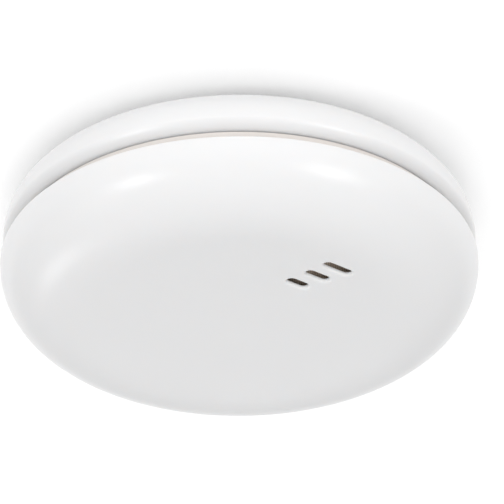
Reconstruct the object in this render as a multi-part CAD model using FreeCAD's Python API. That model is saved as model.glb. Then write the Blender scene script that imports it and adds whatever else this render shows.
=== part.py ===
import FreeCAD, Part
import math
import os

# Ceiling heat detector: a round battery head that turns off a bayonet mounting plate.
# The frame is +Z up, in millimetres. The origin is the centre of the plate's ceiling face,
# so the detector hangs below z = 0 and its dished face is the lowest thing on it.

# ---- Driving dimensions -------------------------------------------------------------------
cover_radius = 53.0          # widest circle of the front cover
total_height = 31.4          # ceiling to the rim of the dished face
shadow_gap = 1.2             # ceiling to the top edge of the upper ring
groove_height = 3.2          # from the ring's lip to the cover's rim
groove_depth = 14.0          # ceiling to the ring's lip
face_radius = 34.8           # rim of the dished face
face_dish = 0.8              # how far the face's centre lies above its rim
cover_wall = 2.2
cover_roundness = 2.2        # power of the shoulder's outline, 2 is an ellipse

ring_inset = 0.5             # how far the ring's bulge lies inside the cover's widest circle
ring_roll_width = 2.4        # how far the rolled lower edge turns in to the lip
ring_roll_height = 2.2
ring_roundness = 2.15
ring_roll_roundness = 1.5
ring_wall = 2.3
ring_side_wall = 2.9
flange_wall = 1.6
flange_width = 3.7

plate_radius = 34.2
plate_wall = 1.6
plate_rim_wall = 2.2
plate_depth = 4.0
screw_slot_spacing = 50.0
screw_slot_length = 7.0
screw_slot_width = 4.5

bayonet_count = 3
bayonet_azimuth = 60.0
lug_angle = 22.0
ledge_angle = 24.0
lug_wall = 1.2
ledge_wall = 1.5
ledge_reach = 2.9
lock_stop_angle = 3.0
root = 0.5                   # how far a ledge, lug or shelf runs into the wall that carries it

back_wall = 1.8
board_wall = 1.6
board_boss_height = 2.2
board_edge_room = 1.7        # battery bay to the board's straight edge

battery_radius = 8.5
battery_length = 34.5
battery_x = -17.0
battery_nub_radius = 3.2
battery_nub_height = 0.9
bay_wall = 1.4
contact_wall = 0.3
contact_room = 2.6           # room for a contact at each end of the battery
contact_half_width = 6.0
contact_leg_width = 2.0
contact_foot = 2.4           # how far a contact's leg lies on the board
contact_dimple_radius = 2.0
contact_coil_radius = 4.0
contact_wire_radius = 0.3
battery_sink = 0.9           # top of the battery below the back wall's top

cage_wall = 2.0
collar_wall = 1.2            # pale band that stands in the groove, round the cage
vent_gap = 0.4               # air slot between the collar and the ring's lip
cage_floor_width = 3.2
cage_floor_wall = 1.6
cage_depth = 20.6            # ceiling to the underside of the cage's floor
vent_bar_count = 36
vent_bar_angle = 2.6
mesh_wall = 0.3
mesh_hem = 1.0               # plain edge above and below the mesh's openings
mesh_top_room = 1.5          # board to the mesh's top edge
mesh_bar_count = 60
mesh_bar_angle = 2.0

cover_travel = 0.6           # how far the cover moves when it is pressed to test
station_count = 3            # hook, guide pin and spring stations round the cover
station_azimuth = 30.0
station_width = 9.0
shelf_reach = 9.4            # how far each station's shelf runs in from the cage
hook_inset = 3.3             # cage to the hook's outer barb face
hook_wall = 1.2
hook_width = 4.0
hook_barb = 1.2
hook_rise = 1.8              # tips of the hooks above the cage's floor
barb_wall = 0.5
pin_inset = 6.6              # cage to the guide pin's axis
pin_radius = 1.3
pin_rise = 0.8
boss_radius = 2.8
spring_length = 4.4
spring_wire_radius = 0.25
spring_turns = 5
cover_root = 1.4             # how far posts and hooks run into the cover's wall

slot_middle = (17.1, -17.4)  # middle one of the three sound slots
slot_row_azimuth = -37.0     # direction from the inner slot to the outer slot
slot_axis_azimuth = 37.0     # direction in which each slot is long
slot_pitch = 5.45
slot_width = 2.1
slot_lengths = (5.2, 5.9, 7.1)
slot_window_radius = 9.3     # thinned round of the face behind the slots
slot_window_wall = 0.8

horn_radius = 13.5
horn_wall = 1.2
horn_mouth_radius = 10.2
horn_mouth_wall = 1.0
horn_gap = 0.6               # air left below the horn while the cover is pressed
piezo_radius = 11.6
piezo_wall = 0.4
ceramic_radius = 8.6
ceramic_wall = 0.3
piezo_drop = 2.6             # board to the brass disc
piezo_ledge_width = 1.0
piezo_ledge_wall = 0.8
sounder_pin_radius = 0.6
screen_wall = 0.2

switch_place = (8.0, 14.0)
switch_size = 6.0
switch_height = 3.4
switch_plunger_radius = 1.65
switch_plunger_reach = 1.4
test_post_radius = 2.2

tamper_place = (10.0, -20.0)
tamper_size = 5.0
tamper_rod_radius = 0.8
tamper_rod_sink = 0.8        # how far the rod stands in the switch's body
tamper_head_radius = 2.0
tamper_head_height = 0.85
tamper_travel = 0.5
tamper_spring_wire_radius = 0.25
tamper_spring_turns = 3

led_place = (1.5, -1.0)
led_size = 3.2
led_height = 1.2
guide_radius = 1.5
guide_foot_radius = 3.2
guide_cup_wall = 1.0
guide_window_room = 0.7      # round the guide's tip in the cover's thinned window
guide_window_wall = 1.2      # cover wall left over the light guide

thermistor_inset = 3.4       # mesh to the beads' circle
thermistor_azimuths = (58.0, -62.0)
thermistor_radius = 1.1
lead_radius = 0.2
lead_spacing = 1.2

screw_inset = 4.8            # cage to the housing screws' circle
screw_azimuths = (80.0, 0.0, -70.0, 180.0)
screw_radius = 1.1
screw_head_radius = 2.3
screw_head_height = 1.6
screw_driver_radius = 0.9
screw_driver_depth = 0.8
screw_tip_wall = 0.8         # wall left above each screw's hole
screw_boss_radius = 2.4
ear_half_width = 3.4         # cage's ears round the screws' bosses

chips = {                    # place, size in plan, height
    "main_chip": ((18.0, 6.0), (7.0, 7.0), 0.9),
    "sounder_driver_chip": ((32.0, -3.0), (5.0, 4.0), 1.1),
    "crystal": ((24.6, 1.5), (3.2, 2.5), 0.8),
}
inductor_place = (32.5, 5.0)
inductor_radius = 3.0
inductor_height = 4.5
capacitor_places = ((9.0, 24.5), (9.0, 31.0))
capacitor_radius = 2.5
capacitor_height = 5.0
resistor_corner = (0.5, 5.0)
resistor_pitch = (2.2, 2.0)
resistor_rows = (5, 2)
resistor_size = (0.8, 1.4)
resistor_height = 0.5
radio_place = (21.0, 20.0)
radio_size = (14.0, 11.0)
radio_wall = 0.8
shield_size = (10.0, 8.6)
shield_height = 2.0
shield_wall = 0.3
antenna_start = 12.0         # azimuth of its first end
antenna_sweep = 34.0
antenna_drop = 2.4
antenna_inset = 3.0
antenna_radius = 0.4
antenna_foot_radius = 0.3

# ---- Clearances ---------------------------------------------------------------------------
running = 0.3                # between curved faces that move past each other
seat = 0.1                   # between faces that rest on each other across a joint
slip = 0.05                  # round a shaft or screw in its own hole
small_room = 0.4             # round a hook in the cage's floor, or a light in its cup
plate_room = 1.0             # between the mounting plate and the back wall
ledge_room = 0.4             # between the plate's ledges and the recess they stand in
cage_room = 0.6              # between the vent cage and the ring's flange
collar_room = 0.5            # between the collar and the inside of the cover's rim
board_room = 1.0             # between the board's edge and the mesh
battery_side_room = 0.4
spring_room = 0.45           # between a rod and the spring round it

# ---- Levels and radii that follow ---------------------------------------------------------
recess_radius = plate_radius + ledge_reach + ledge_room
ring_top_radius = recess_radius + ring_wall
ring_bulge_radius = cover_radius - ring_inset
ring_lip_radius = ring_bulge_radius - ring_roll_width
ring_top = -shadow_gap
ring_lip = -groove_depth
cover_rim = ring_lip - groove_height
face_rim = -total_height
face_centre = face_rim + face_dish
face_inside = face_centre + cover_wall

plate_bottom = -plate_depth
back_top = plate_bottom - plate_room
back_bottom = back_top - back_wall
board_top = back_bottom - board_boss_height
board_bottom = board_top - board_wall
cage_floor_bottom = -cage_depth
cage_floor_top = cage_floor_bottom + cage_floor_wall
housing_inside = ring_bulge_radius - ring_side_wall
flange_inside = ring_lip_radius - flange_width
cage_radius = flange_inside - cage_room
cage_inside = cage_radius - cage_wall
collar_radius = cover_radius - cover_wall - collar_room
mesh_radius = cage_inside - seat
board_radius = mesh_radius - mesh_wall - board_room
hook_radius = cage_inside - hook_inset
pin_circle = cage_inside - pin_inset
screw_circle = cage_inside - screw_inset
thermistor_circle = mesh_radius - thermistor_inset

battery_z = back_top - battery_sink - battery_radius
bay_half_width = battery_radius + battery_side_room
bay_half_length = battery_length / 2 + contact_room
bay_bottom = battery_z - battery_radius - running
board_edge_x = battery_x + bay_half_width + bay_wall + board_edge_room

root_level = face_rim + cover_root
spring_seat = cage_floor_bottom - spring_length
spring_radius = pin_radius + spring_room + spring_wire_radius
horn_bottom = face_inside + cover_travel + horn_gap
piezo_top = board_bottom - piezo_drop
switch_bottom = board_bottom - switch_height
plunger_tip = switch_bottom - switch_plunger_reach
tamper_head_top = -plate_wall - slip
tamper_seat = tamper_head_top - tamper_head_height


# ---- Shape helpers ------------------------------------------------------------------------
def vector(x, y, z):
    return FreeCAD.Vector(x, y, z)


def polar(radius, azimuth):
    """The x and y of a place given by its distance from the axis and its azimuth."""
    angle = math.radians(azimuth)
    return radius * math.cos(angle), radius * math.sin(angle)


def box(x_range, y_range, z_range):
    """A box between two values along each axis."""
    sizes = [high - low for low, high in (x_range, y_range, z_range)]
    return Part.makeBox(*sizes, vector(x_range[0], y_range[0], z_range[0]))


def block(centre, size, z_range):
    """A box of a given size in plan, centred on a place."""
    half_x = size[0] / 2
    half_y = size[1] / 2
    x_range = (centre[0] - half_x, centre[0] + half_x)
    y_range = (centre[1] - half_y, centre[1] + half_y)
    return box(x_range, y_range, z_range)


def disc(radius, z_range, centre=(0.0, 0.0)):
    """An upright cylinder between two levels."""
    return Part.makeCylinder(radius, z_range[1] - z_range[0], vector(*centre, z_range[0]))


def tube(inner, outer, z_range, centre=(0.0, 0.0)):
    """An upright tube between two levels."""
    return disc(outer, z_range, centre).cut(disc(inner, z_range, centre))


def turned(edges):
    """The solid that a closed outline in the XZ plane sweeps round the Z axis."""
    face = Part.Face(Part.Wire(Part.__sortEdges__(edges)))
    return face.revolve(vector(0, 0, 0), vector(0, 0, 1), 360)


def sector(radii, z_range, azimuth, angle):
    """A curved block: part of a tube, centred on an azimuth."""
    corners = [
        vector(radii[0], 0, z_range[0]),
        vector(radii[1], 0, z_range[0]),
        vector(radii[1], 0, z_range[1]),
        vector(radii[0], 0, z_range[1]),
    ]
    face = Part.Face(Part.makePolygon(corners + corners[:1]))
    solid = face.revolve(vector(0, 0, 0), vector(0, 0, 1), angle)
    return turn(solid, azimuth - angle / 2)


def turn(shape, azimuth):
    """A copy of a shape, turned about the Z axis."""
    copy = shape.copy()
    copy.rotate(vector(0, 0, 0), vector(0, 0, 1), azimuth)
    return copy


def round_copies(shape, count, first_azimuth=0.0):
    """Copies of a shape, evenly spaced round the Z axis."""
    return [turn(shape, first_azimuth + 360.0 * index / count) for index in range(count)]


def stadium(centre, length, width, azimuth, z_range):
    """An upright prism with round ends, long in one direction."""
    straight = (length - width) / 2
    solid = block((0, 0), (2 * straight, width), z_range)
    for end in (-straight, straight):
        solid = solid.fuse(disc(width / 2, z_range, (end, 0)))
    solid = turn(solid.removeSplitter(), azimuth)
    solid.translate(vector(*centre, 0))
    return solid


def coil(radius, wire_radius, turns, z_range, centre):
    """A round-wire compression spring between two seats."""
    height = z_range[1] - z_range[0] - 2 * wire_radius
    path = Part.Wire(Part.makeHelix(height / turns, height, radius))
    section = Part.Wire(Part.makeCircle(wire_radius, vector(radius, 0, 0), vector(0, 1, 0)))
    solid = path.makePipeShell([section], True, True)
    solid.translate(vector(*centre, z_range[0] + wire_radius))
    return solid


def group(solids):
    """Separate solids that share one node."""
    return Part.makeCompound(solids)


def save(name, shape):
    shape.exportStep("parts/" + name + ".step")
    print(name, len(shape.Solids), round(shape.Volume, 1), shape.isValid())


# ---- Outlines -----------------------------------------------------------------------------
def quarter(start, end, power, count=10):
    """A squared quarter-ellipse: upright at its start, level at its end."""
    points = []
    for step in range(count + 1):
        angle = math.pi / 2 * step / count
        across = max(math.cos(angle), 0.0) ** (2 / power)
        along = math.sin(angle) ** (2 / power)
        radius = end[0] + (start[0] - end[0]) * across
        level = start[1] + (end[1] - start[1]) * along
        points.append(vector(radius, 0, level))
    curve = Part.BSplineCurve()
    rise = 1 if end[1] > start[1] else -1
    out = 1 if end[0] > start[0] else -1
    curve.interpolate(points, InitialTangent=vector(0, 0, rise), FinalTangent=vector(out, 0, 0))
    return curve.toShape()


def line(start, end):
    return Part.makeLine(vector(start[0], 0, start[1]), vector(end[0], 0, end[1]))


def dish(rim_radius, rim_level, centre_level):
    """A shallow arc across a dished face, from its rim to the axis."""
    sag = centre_level - rim_level
    middle = rim_level + sag * 0.75
    rim = vector(rim_radius, 0, rim_level)
    return Part.Arc(rim, vector(rim_radius / 2, 0, middle), vector(0, 0, centre_level)).toShape()


# ---- Mounting plate -----------------------------------------------------------------------
def mounting_plate():
    """The disc that is screwed to the ceiling, with bayonet ledges round its rim."""
    solid = disc(plate_radius, (-plate_wall, 0))
    rim = tube(plate_radius - plate_rim_wall, plate_radius, (plate_bottom, -plate_wall))
    solid = solid.fuse(rim)
    reach = (plate_radius - root, plate_radius + ledge_reach)
    ledge_top = plate_bottom + ledge_wall
    ledge = sector(reach, (plate_bottom, ledge_top), 0, ledge_angle)
    stop_azimuth = (ledge_angle + lock_stop_angle) / 2
    stop = sector(reach, (plate_bottom, -plate_wall), stop_azimuth, lock_stop_angle)
    for piece in (ledge, stop):
        solid = solid.fuse(round_copies(piece, bayonet_count, bayonet_azimuth))
    for side in (-1, 1):
        place = (side * screw_slot_spacing / 2, 0)
        slot = stadium(place, screw_slot_length, screw_slot_width, 0, (-plate_wall - 1, 1))
        solid = solid.cut(slot)
    return solid.removeSplitter()


# ---- Back housing: the upper ring, the back wall and the battery bay -----------------------
def ring_outline():
    """Outer edges of the upper ring, from its top edge round the bulge to its lip."""
    bulge_level = ring_lip + ring_roll_height
    upper = quarter((ring_bulge_radius, bulge_level), (ring_top_radius, ring_top), ring_roundness)
    lip = (ring_lip_radius, ring_lip)
    lower = quarter((ring_bulge_radius, bulge_level), lip, ring_roll_roundness)
    return [upper, lower]


def screw_places():
    """Where the housing screws stand: three through the board and one behind the battery."""
    return [polar(screw_circle, azimuth) for azimuth in screw_azimuths]


def boss_level(place):
    """The board screws' bosses stop at the board, the rear one goes on to its underside."""
    return board_top if place[0] > board_edge_x else board_bottom


def back_housing():
    solid = turned(ring_outline() + [
        line((ring_top_radius, ring_top), (0, ring_top)),
        line((0, ring_top), (0, ring_lip)),
        line((0, ring_lip), (ring_lip_radius, ring_lip)),
    ])
    solid = solid.cut(disc(recess_radius, (back_top, 1)))
    solid = solid.cut(disc(housing_inside, (ring_lip + flange_wall, back_bottom)))
    solid = solid.cut(disc(flange_inside, (ring_lip - 1, ring_lip + flange_wall)))

    lug_reach = (plate_radius + running, recess_radius + root)
    lug = sector(lug_reach, (ring_top - lug_wall, ring_top), 0, lug_angle)
    solid = solid.fuse(round_copies(lug, bayonet_count, bayonet_azimuth))

    bay_centre = (battery_x, 0)
    inside = (2 * bay_half_width, 2 * bay_half_length)
    outside = (inside[0] + 2 * bay_wall, inside[1] + 2 * bay_wall)
    solid = solid.fuse(block(bay_centre, outside, (bay_bottom - bay_wall, back_bottom)))
    solid = solid.cut(block(bay_centre, inside, (bay_bottom, 1)))
    for end in (-1, 1):
        x_range, y_range, z_range = contact_strip(end)
        slit_y = (y_range[0] - slip, y_range[1] + slip)
        slit_z = (z_range[0] - slip, z_range[1] + slip)
        solid = solid.cut(box(x_range, slit_y, slit_z))

    for place in screw_places():
        solid = solid.fuse(disc(screw_boss_radius, (boss_level(place), back_bottom), place))
        hole_levels = (board_bottom - 1, back_top - screw_tip_wall)
        solid = solid.cut(disc(screw_radius + slip, hole_levels, place))
    rod_hole = disc(tamper_rod_radius + running, (back_bottom - 1, back_top + 1), tamper_place)
    return solid.cut(rod_hole).removeSplitter()


# ---- Battery and its contacts -------------------------------------------------------------
def along_y(radius, y_range):
    """A cylinder on the battery's axis."""
    start = vector(battery_x, y_range[0], battery_z)
    return Part.makeCylinder(radius, y_range[1] - y_range[0], start, vector(0, 1, 0))


def battery():
    can_end = battery_length / 2 - battery_nub_height
    can = along_y(battery_radius, (-battery_length / 2, can_end))
    nub = along_y(battery_nub_radius, (can_end, battery_length / 2))
    return can.fuse(nub)


def contact_strip(end):
    """Box of the leg that runs from a contact, through the bay's wall, to the board."""
    inner = end * (bay_half_length - contact_leg_width)
    outer = end * bay_half_length
    y_range = (min(inner, outer), max(inner, outer))
    x_range = (battery_x + contact_half_width / 2, board_edge_x + contact_foot)
    return x_range, y_range, (board_top, board_top + contact_wall)


def contact_plate(end):
    """The sheet against the bay's end wall, with its leg."""
    inner = end * (bay_half_length - contact_wall)
    outer = end * bay_half_length
    y_range = (min(inner, outer), max(inner, outer))
    x_range = (battery_x - contact_half_width, battery_x + contact_half_width)
    sheet = box(x_range, y_range, (battery_z - contact_half_width, board_top + contact_wall))
    return sheet.fuse(box(*contact_strip(end))).removeSplitter()


def battery_contact_plus():
    """Its pressed dimple reaches the battery's nub."""
    dimple_end = bay_half_length - contact_wall
    dimple = along_y(contact_dimple_radius, (battery_length / 2, dimple_end))
    return contact_plate(1).fuse(dimple)


def battery_contact_minus():
    """A coil spring that pushes the battery towards the plus contact."""
    start = -bay_half_length + contact_wall / 2
    levels = (start, -battery_length / 2)
    spring = coil(contact_coil_radius, contact_wire_radius, 2, levels, (0, 0))
    spring.rotate(vector(0, 0, 0), vector(1, 0, 0), -90)
    spring.translate(vector(battery_x, 0, battery_z))
    return contact_plate(-1).fuse(spring)


# ---- Vent cage and mesh -------------------------------------------------------------------
def vent_cage():
    """A barred ring behind a collar. Air comes in over the collar and goes through the bars.

    The cage's floor carries the stations that hold the cover.
    """
    solid = tube(cage_inside, cage_radius, (cage_floor_bottom, back_bottom))
    floor_levels = (cage_floor_bottom, cage_floor_top)
    floor = tube(cage_radius - cage_floor_width, cage_radius, floor_levels)
    solid = solid.fuse(floor)
    web_levels = (cover_rim - collar_wall, cover_rim)
    collar_levels = (web_levels[0], ring_lip - vent_gap)
    solid = solid.fuse(tube(cage_radius - root, collar_radius, web_levels))
    solid = solid.fuse(tube(collar_radius - collar_wall, collar_radius, collar_levels))
    window_angle = 360.0 / vent_bar_count - vent_bar_angle
    window_radii = (cage_inside - 1, cage_radius + 1)
    window = sector(window_radii, (cover_rim, ring_lip), 0, window_angle)
    solid = solid.cut(group(round_copies(window, vent_bar_count)))

    shelf = box(
        (cage_inside - shelf_reach, cage_inside + root),
        (-station_width / 2, station_width / 2),
        floor_levels,
    )
    solid = solid.fuse(round_copies(shelf, station_count, station_azimuth))
    hook_window = box(
        (hook_radius - small_room, hook_radius + hook_wall + small_room),
        (-hook_width / 2 - small_room, hook_width / 2 + small_room),
        (cage_floor_bottom - 1, cage_floor_top + 1),
    )
    pin_hole = disc(
        pin_radius + running, (cage_floor_bottom - 1, cage_floor_top + 1), (pin_circle, 0)
    )
    for tool in (hook_window, pin_hole):
        solid = solid.cut(group(round_copies(tool, station_count, station_azimuth)))

    for place in screw_places():
        level = boss_level(place)
        azimuth = math.degrees(math.atan2(place[1], place[0]))
        ear_x = (screw_circle - ear_half_width, cage_inside + root)
        ear = box(ear_x, (-ear_half_width, ear_half_width), (level, back_bottom))
        solid = solid.fuse(turn(ear, azimuth))
        boss_hole = disc(screw_boss_radius + slip, (level - 1, back_bottom + 1), place)
        solid = solid.cut(boss_hole)
    return solid.removeSplitter()


def insect_mesh():
    """The fine screen inside the cage, standing on the cage's floor."""
    top = board_bottom - mesh_top_room
    solid = tube(mesh_radius - mesh_wall, mesh_radius, (cage_floor_top, top))
    window_angle = 360.0 / mesh_bar_count - mesh_bar_angle
    window_radii = (mesh_radius - mesh_wall - 1, mesh_radius + 1)
    window_levels = (cage_floor_top + mesh_hem, top - mesh_hem)
    window = sector(window_radii, window_levels, 0, window_angle)
    return solid.cut(group(round_copies(window, mesh_bar_count)))


# ---- Circuit board and what is on it -------------------------------------------------------
def circuit_board():
    solid = disc(board_radius, (board_bottom, board_top))
    levels = (board_bottom - 1, board_top + 1)
    beyond = box((-cover_radius, board_edge_x), (-cover_radius, cover_radius), levels)
    solid = solid.cut(beyond)
    for place in screw_places():
        solid = solid.cut(disc(screw_radius + running, levels, place))
    return solid


def below_board(height):
    return (board_bottom - height, board_bottom)


def small_parts():
    """Capacitors and chip resistors, each a group of like pieces."""
    levels = below_board(capacitor_height)
    capacitors = [disc(capacitor_radius, levels, place) for place in capacitor_places]
    resistors = []
    for column in range(resistor_rows[0]):
        for row in range(resistor_rows[1]):
            x = resistor_corner[0] + resistor_pitch[0] * column
            y = resistor_corner[1] + resistor_pitch[1] * row
            resistors.append(block((x, y), resistor_size, below_board(resistor_height)))
    return group(capacitors), group(resistors)


def radio():
    """A radio module's own small board, and the shield over its chip."""
    module = block(radio_place, radio_size, below_board(radio_wall))
    seat_level = board_bottom - radio_wall
    top = seat_level - shield_height
    shield = block(radio_place, shield_size, (top, seat_level))
    inside = (shield_size[0] - 2 * shield_wall, shield_size[1] - 2 * shield_wall)
    hollow = block(radio_place, inside, (top + shield_wall, board_bottom))
    return module, shield.cut(hollow)


def antenna():
    """A bent wire along the board's edge, on two thinner feet."""
    level = board_bottom - antenna_drop
    circle = board_radius - antenna_inset
    section = Part.makeCircle(antenna_radius, vector(circle, 0, level), vector(0, 1, 0))
    face = Part.Face(Part.Wire(section))
    bent = face.revolve(vector(0, 0, 0), vector(0, 0, 1), antenna_sweep)
    wire = turn(bent, antenna_start)
    for azimuth in (antenna_start + 1.5, antenna_start + antenna_sweep - 1.5):
        foot = disc(antenna_foot_radius, (level, board_bottom), polar(circle, azimuth))
        wire = wire.fuse(foot)
    return wire


def thermistors():
    """Glass beads in the air gap's level, each on two leads from the board."""
    beads = []
    leads = []
    level = (ring_lip + cover_rim) / 2
    for azimuth in thermistor_azimuths:
        x, y = polar(thermistor_circle, azimuth)
        beads.append(Part.makeSphere(thermistor_radius, vector(x, y, level)))
        for side in (-0.5, 0.5):
            place = (x + side * lead_spacing, y)
            leads.append(disc(lead_radius, (level, board_bottom), place))
    bead_group = group(beads)
    return bead_group, group([lead.cut(bead_group) for lead in leads])


def status_led():
    return block(led_place, (led_size, led_size - small_room), below_board(led_height))


def light_guide():
    """A clear rod whose cup stands over the light and whose tip ends behind the cover."""
    cup = disc(guide_foot_radius, below_board(led_height + guide_cup_wall), led_place)
    rod = disc(guide_radius, (horn_bottom, board_bottom - led_height), led_place)
    room = (led_size + small_room, led_size)
    hollow = block(led_place, room, below_board(led_height + slip))
    return cup.fuse(rod).cut(hollow)


def test_switch():
    """A tactile switch on the board, and the plunger that the cover's post pushes."""
    body = block(switch_place, (switch_size, switch_size), (switch_bottom, board_bottom))
    top = switch_bottom + switch_plunger_reach
    hole_levels = (switch_bottom - 1, top + cover_travel + running)
    hole = disc(switch_plunger_radius + seat, hole_levels, switch_place)
    plunger = disc(switch_plunger_radius, (plunger_tip, top), switch_place)
    return body.cut(hole), plunger


def tamper_switch():
    """A switch held pressed by the mounting plate, with its plunger and spring."""
    body_top = back_bottom - running
    body = block(tamper_place, (tamper_size, tamper_size), (board_top, body_top))
    rod_end = body_top - tamper_rod_sink
    hole_levels = (rod_end - tamper_travel - seat, body_top + 1)
    hole = disc(tamper_rod_radius + seat, hole_levels, tamper_place)
    head = disc(tamper_head_radius, (tamper_seat, tamper_head_top), tamper_place)
    rod = disc(tamper_rod_radius, (rod_end, tamper_seat), tamper_place)
    mean = tamper_rod_radius + spring_room + tamper_spring_wire_radius
    levels = (back_top, tamper_seat)
    spring = coil(mean, tamper_spring_wire_radius, tamper_spring_turns, levels, tamper_place)
    return body.cut(hole), head.fuse(rod), spring


# ---- Sounder ------------------------------------------------------------------------------
def sounder_horn():
    """The tube that carries the sound from the brass disc to the three slots."""
    levels = (horn_bottom, board_bottom)
    solid = tube(horn_radius - horn_wall, horn_radius, levels, slot_middle)
    mouth = (horn_bottom, horn_bottom + horn_mouth_wall)
    outside = horn_radius - horn_wall / 2
    solid = solid.fuse(tube(horn_mouth_radius, outside, mouth, slot_middle))
    ledge_top = piezo_top - piezo_wall
    ledge_levels = (ledge_top - piezo_ledge_wall, ledge_top)
    ledge = tube(piezo_radius - piezo_ledge_width, outside, ledge_levels, slot_middle)
    return solid.fuse(ledge).removeSplitter()


def sounder_parts():
    """Brass disc, ceramic disc, their two contact pins and the screen in the mouth."""
    brass = disc(piezo_radius, (piezo_top - piezo_wall, piezo_top), slot_middle)
    ceramic_top = piezo_top + ceramic_wall
    ceramic = disc(ceramic_radius, (piezo_top, ceramic_top), slot_middle)
    edge = (piezo_radius + ceramic_radius) / 2
    edge_place = (slot_middle[0] + edge, slot_middle[1])
    pins = group([
        disc(sounder_pin_radius, (ceramic_top, board_bottom), slot_middle),
        disc(sounder_pin_radius, (piezo_top, board_bottom), edge_place),
    ])
    screen_levels = (horn_bottom - screen_wall, horn_bottom)
    screen = disc((horn_mouth_radius + horn_radius) / 2, screen_levels, slot_middle)
    return brass, ceramic, pins, screen


# ---- Fasteners ----------------------------------------------------------------------------
def housing_screws():
    screws = []
    for place in screw_places():
        top = board_bottom - screw_head_height
        head = disc(screw_head_radius, (top, board_bottom), place)
        shank = disc(screw_radius, (board_bottom, back_top - screw_tip_wall - seat), place)
        driver = disc(screw_driver_radius, (top - 1, top + screw_driver_depth), place)
        screws.append(head.fuse(shank).cut(driver))
    return group(screws)


# ---- Front cover --------------------------------------------------------------------------
def cover_shell():
    """The turned shell: rounded shoulder, dished face, even wall."""
    inside_rim = cover_radius - cover_wall
    face_inside_rim = face_rim + cover_wall
    return turned([
        quarter((cover_radius, cover_rim), (face_radius, face_rim), cover_roundness),
        dish(face_radius, face_rim, face_centre),
        line((0, face_centre), (0, face_inside)),
        dish(face_radius, face_inside_rim, face_inside),
        quarter((inside_rim, cover_rim), (face_radius, face_inside_rim), cover_roundness),
        line((inside_rim, cover_rim), (cover_radius, cover_rim)),
    ])


def filled_cover():
    """The cover without its hollow, which nothing that stands on the wall may break through."""
    return turned([
        quarter((cover_radius, cover_rim), (face_radius, face_rim), cover_roundness),
        dish(face_radius, face_rim, face_centre),
        line((0, face_centre), (0, cover_rim)),
        line((0, cover_rim), (cover_radius, cover_rim)),
    ])


def dish_level(place):
    """Height of the dished face's outside at a place."""
    share = (place[0] ** 2 + place[1] ** 2) / face_radius ** 2
    return face_rim + face_dish * (1 - share)


def sound_slots():
    """The three parallel slots, longer towards the cover's edge."""
    tools = []
    for index, length in enumerate(slot_lengths):
        x, y = polar(slot_pitch * (index - 1), slot_row_azimuth)
        place = (slot_middle[0] + x, slot_middle[1] + y)
        levels = (face_rim - 1, face_inside + 1)
        tools.append(stadium(place, length, slot_width, slot_axis_azimuth, levels))
    return tools


def hook():
    """A snap arm with a barb that rests on the cage's floor."""
    top = cage_floor_top + hook_rise
    barb_bottom = cage_floor_top + seat
    corners = [
        (hook_radius + hook_wall, root_level),
        (hook_radius + hook_wall, top),
        (hook_radius, top),
        (hook_radius - hook_barb, barb_bottom + barb_wall),
        (hook_radius - hook_barb, barb_bottom),
        (hook_radius, barb_bottom),
        (hook_radius, root_level),
    ]
    points = [vector(radius, -hook_width / 2, level) for radius, level in corners]
    face = Part.Face(Part.makePolygon(points + points[:1]))
    return face.extrude(vector(0, hook_width, 0))


def front_cover():
    solid = cover_shell()
    boss = disc(boss_radius, (root_level, spring_seat), (pin_circle, 0))
    pin = disc(pin_radius, (spring_seat, cage_floor_top + pin_rise), (pin_circle, 0))
    for piece in (boss.fuse(pin), hook()):
        piece = piece.common(filled_cover())
        solid = solid.fuse(round_copies(piece, station_count, station_azimuth))
    post = disc(test_post_radius, (root_level, plunger_tip - slip), switch_place)
    solid = solid.fuse(post)
    window_level = face_centre + guide_window_wall
    window_radius = guide_radius + guide_window_room
    solid = solid.cut(disc(window_radius, (window_level, face_inside + 1), led_place))
    slots_level = dish_level(slot_middle) + slot_window_wall
    solid = solid.cut(disc(slot_window_radius, (slots_level, face_inside + 1), slot_middle))
    return solid.cut(group(sound_slots())).removeSplitter()


def cover_springs():
    levels = (spring_seat, cage_floor_bottom)
    spring = coil(spring_radius, spring_wire_radius, spring_turns, levels, (pin_circle, 0))
    return group(round_copies(spring, station_count, station_azimuth))


# ---- Write every node ---------------------------------------------------------------------
def main():
    os.makedirs("parts", exist_ok=True)
    save("mounting_plate", mounting_plate())
    save("back_housing", back_housing())
    save("battery", battery())
    save("battery_contact_plus", battery_contact_plus())
    save("battery_contact_minus", battery_contact_minus())
    save("vent_cage", vent_cage())
    save("insect_mesh", insect_mesh())

    save("circuit_board", circuit_board())
    for name, (place, size, height) in chips.items():
        save(name, block(place, size, below_board(height)))
    save("boost_inductor", disc(inductor_radius, below_board(inductor_height), inductor_place))
    capacitors, resistors = small_parts()
    save("capacitors", capacitors)
    save("chip_resistors", resistors)
    module, shield = radio()
    save("radio_module", module)
    save("radio_shield", shield)
    save("antenna", antenna())
    beads, leads = thermistors()
    save("thermistor_beads", beads)
    save("thermistor_leads", leads)
    save("status_led", status_led())
    save("light_guide", light_guide())

    switch_body, switch_plunger = test_switch()
    save("test_switch_body", switch_body)
    save("test_switch_plunger", switch_plunger)
    tamper_body, tamper_plunger, tamper_spring = tamper_switch()
    save("tamper_switch_body", tamper_body)
    save("tamper_plunger", tamper_plunger)
    save("tamper_spring", tamper_spring)

    save("sounder_horn", sounder_horn())
    brass, ceramic, pins, screen = sounder_parts()
    save("piezo_disc", brass)
    save("piezo_ceramic", ceramic)
    save("sounder_pins", pins)
    save("sounder_screen", screen)

    save("housing_screws", housing_screws())
    save("front_cover", front_cover())
    save("cover_springs", cover_springs())


main()
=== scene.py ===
import math

import bmesh
import bpy
from mathutils import Matrix, Vector


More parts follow.
